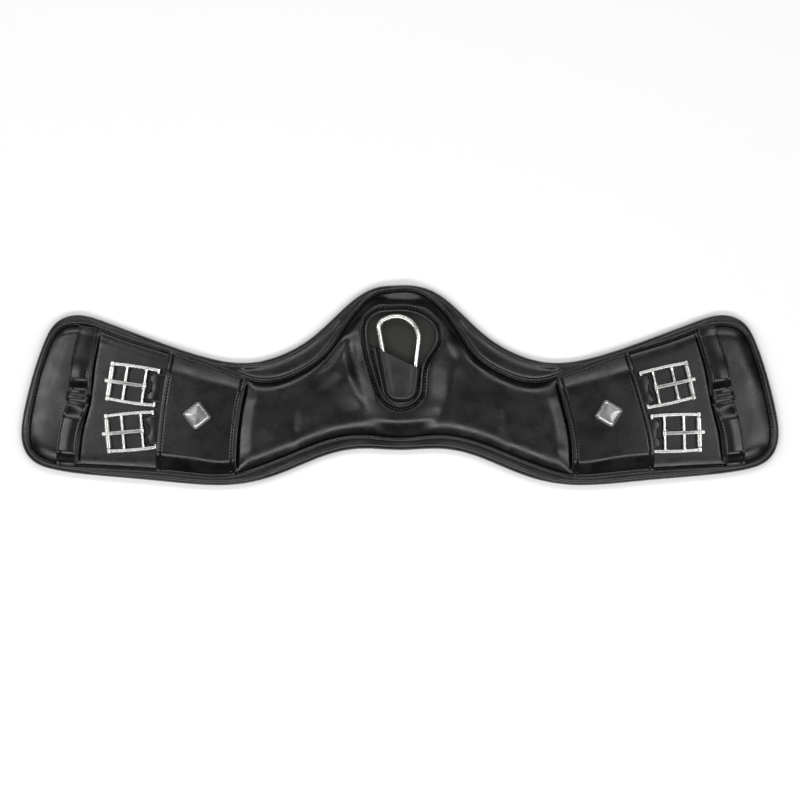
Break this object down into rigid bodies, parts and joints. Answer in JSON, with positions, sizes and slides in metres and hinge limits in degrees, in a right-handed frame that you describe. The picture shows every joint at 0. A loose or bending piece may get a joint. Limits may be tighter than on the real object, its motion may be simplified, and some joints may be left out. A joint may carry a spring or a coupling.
{
  "type": "saddle girth",
  "caption": "Short contoured dressage girth: padded black leather body, roller buckles on elastic ends, billet keepers and a spring hook in a centre pocket.",
  "frame": {"origin": "underside of the lining, at the centre of the outline's box", "axes": "+X along the girth's length, +Y towards the raised front edge at the centre, +Z out of the outer face"},
  "size_m": [0.699, 0.1846, 0.022],
  "materials": {
    "black_leather": "smooth black leather, soft sheen",
    "lining_leather": "soft matt black leather",
    "foam": "closed-cell foam",
    "webbing": "woven non-stretch webbing",
    "elastic": "black woven elastic",
    "pocket_floor": "dark matt nubuck",
    "buckle_steel": "polished stainless steel",
    "badge_metal": "brushed grey metal",
    "thread": "black waxed thread"
  },
  "bodies": {
    "centre": {"lining_centre": "lining_leather", "foam_centre": "foam", "load_web_centre": "webbing", "rim_centre": "black_leather", "face_centre": "black_leather", "piping_centre": "black_leather", "centre_pad": "black_leather", "pocket_floor": "pocket_floor", "pocket_lip": "black_leather", "pocket_flap": "black_leather", "hook_tether": "black_leather"},
    "hook": {"hook_body": "buckle_steel", "gate_pin": "buckle_steel"},
    "gate": {"hook_gate": "buckle_steel", "gate_spring": "buckle_steel"},
    "left_wing": {"lining_left": "lining_leather", "foam_left": "foam", "load_web_left": "webbing", "rim_left": "black_leather", "face_left": "black_leather", "piping_left": "black_leather", "cover_panel_left": "black_leather", "badge_left": "badge_metal", "keeper_upper_left": "black_leather", "keeper_lower_left": "black_leather", "keeper_tab_left": "black_leather"},
    "right_wing": {"lining_right": "lining_leather", "foam_right": "foam", "load_web_right": "webbing", "rim_right": "black_leather", "face_right": "black_leather", "piping_right": "black_leather", "cover_panel_right": "black_leather", "badge_right": "badge_metal", "keeper_upper_right": "black_leather", "keeper_lower_right": "black_leather", "keeper_tab_right": "black_leather"},
    "elastic_upper_left": {"elastic_upper_left": "elastic"},
    "buckle_upper_left": {"buckle_frame_upper_left": "buckle_steel"},
    "roller_upper_left": {"buckle_roller_upper_left": "buckle_steel"},
    "tongue_upper_left": {"buckle_tongue_upper_left": "buckle_steel"},
    "elastic_lower_left": {"elastic_lower_left": "elastic"},
    "buckle_lower_left": {"buckle_frame_lower_left": "buckle_steel"},
    "roller_lower_left": {"buckle_roller_lower_left": "buckle_steel"},
    "tongue_lower_left": {"buckle_tongue_lower_left": "buckle_steel"},
    "elastic_upper_right": {"elastic_upper_right": "elastic"},
    "buckle_upper_right": {"buckle_frame_upper_right": "buckle_steel"},
    "roller_upper_right": {"buckle_roller_upper_right": "buckle_steel"},
    "tongue_upper_right": {"buckle_tongue_upper_right": "buckle_steel"},
    "elastic_lower_right": {"elastic_lower_right": "elastic"},
    "buckle_lower_right": {"buckle_frame_lower_right": "buckle_steel"},
    "roller_lower_right": {"buckle_roller_lower_right": "buckle_steel"},
    "tongue_lower_right": {"buckle_tongue_lower_right": "buckle_steel"}
  },
  "joints": [
    {"name": "left_bend", "type": "hinge", "parent": "centre", "child": "left_wing", "pos_m": [-0.098, 0, 0], "axis": [0, -1, 0], "range_deg": [0, 60]},
    {"name": "right_bend", "type": "hinge", "parent": "centre", "child": "right_wing", "pos_m": [0.098, 0, 0], "axis": [0, 1, 0], "range_deg": [0, 60]},
    {"name": "stretch_upper_left", "type": "slide", "parent": "left_wing", "child": "elastic_upper_left", "axis": [-0.989, 0.1478, 0], "range_m": [0, 0.012], "stiffness_N_per_m": 800},
    {"name": "lift_upper_left", "type": "hinge", "parent": "elastic_upper_left", "child": "buckle_upper_left", "pos_m": [-0.22357, -0.00259, 0.0142], "axis": [0.1478, 0.989, 0], "range_deg": [0, 40]},
    {"name": "tongue_upper_left", "type": "hinge", "parent": "buckle_upper_left", "child": "tongue_upper_left", "pos_m": [-0.23485, -0.0009, 0.0142], "axis": [0.1478, 0.989, 0], "range_deg": [0, 110]},
    {"name": "roller_upper_left", "type": "hinge", "parent": "buckle_upper_left", "child": "roller_upper_left", "pos_m": [-0.2663, 0.0038, 0.0142], "axis": [-0.1478, -0.989, 0], "continuous": true},
    {"name": "stretch_lower_left", "type": "slide", "parent": "left_wing", "child": "elastic_lower_left", "axis": [-0.9963, -0.0854, 0], "range_m": [0, 0.012], "stiffness_N_per_m": 800},
    {"name": "lift_lower_left", "type": "hinge", "parent": "elastic_lower_left", "child": "buckle_lower_left", "pos_m": [-0.22556, -0.04081, 0.0142], "axis": [-0.0854, 0.9963, 0], "range_deg": [0, 40]},
    {"name": "tongue_lower_left", "type": "hinge", "parent": "buckle_lower_left", "child": "tongue_lower_left", "pos_m": [-0.23692, -0.04178, 0.0142], "axis": [-0.0854, 0.9963, 0], "range_deg": [0, 110]},
    {"name": "roller_lower_left", "type": "hinge", "parent": "buckle_lower_left", "child": "roller_lower_left", "pos_m": [-0.2686, -0.0445, 0.0142], "axis": [0.0854, -0.9963, 0], "continuous": true},
    {"name": "stretch_upper_right", "type": "slide", "parent": "right_wing", "child": "elastic_upper_right", "axis": [0.9759, 0.2181, 0], "range_m": [0, 0.012], "stiffness_N_per_m": 800},
    {"name": "lift_upper_right", "type": "hinge", "parent": "elastic_upper_right", "child": "buckle_upper_right", "pos_m": [0.22414, -0.00472, 0.0142], "axis": [0.2181, -0.9759, 0], "range_deg": [0, 40]},
    {"name": "tongue_upper_right", "type": "hinge", "parent": "buckle_upper_right", "child": "tongue_upper_right", "pos_m": [0.23527, -0.00224, 0.0142], "axis": [0.2181, -0.9759, 0], "range_deg": [0, 110]},
    {"name": "roller_upper_right", "type": "hinge", "parent": "buckle_upper_right", "child": "roller_upper_right", "pos_m": [0.2663, 0.0047, 0.0142], "axis": [-0.2181, 0.9759, 0], "continuous": true},
    {"name": "stretch_lower_right", "type": "slide", "parent": "right_wing", "child": "elastic_lower_right", "axis": [0.9994, 0.0349, 0], "range_m": [0, 0.012], "stiffness_N_per_m": 800},
    {"name": "lift_lower_right", "type": "hinge", "parent": "elastic_lower_right", "child": "buckle_lower_right", "pos_m": [0.23173, -0.04461, 0.0142], "axis": [0.0349, -0.9994, 0], "range_deg": [0, 40]},
    {"name": "tongue_lower_right", "type": "hinge", "parent": "buckle_lower_right", "child": "tongue_lower_right", "pos_m": [0.24312, -0.04421, 0.0142], "axis": [0.0349, -0.9994, 0], "range_deg": [0, 110]},
    {"name": "roller_lower_right", "type": "hinge", "parent": "buckle_lower_right", "child": "roller_lower_right", "pos_m": [0.2749, -0.0431, 0.0142], "axis": [-0.0349, 0.9994, 0], "continuous": true},
    {"name": "hook_draw", "type": "slide", "parent": "centre", "child": "hook", "axis": [0, 0.9976, 0.0698], "range_m": [0, 0.03], "deforming": ["hook_tether"]},
    {"name": "gate_opening", "type": "hinge", "parent": "hook", "child": "gate", "pos_m": [0.01284, 0.00648, 0.01455], "axis": [0, -0.0698, 0.9976], "range_deg": [0, 25], "stiffness_Nm_per_rad": 0.01, "springref_deg": -17.19}
  ]
}
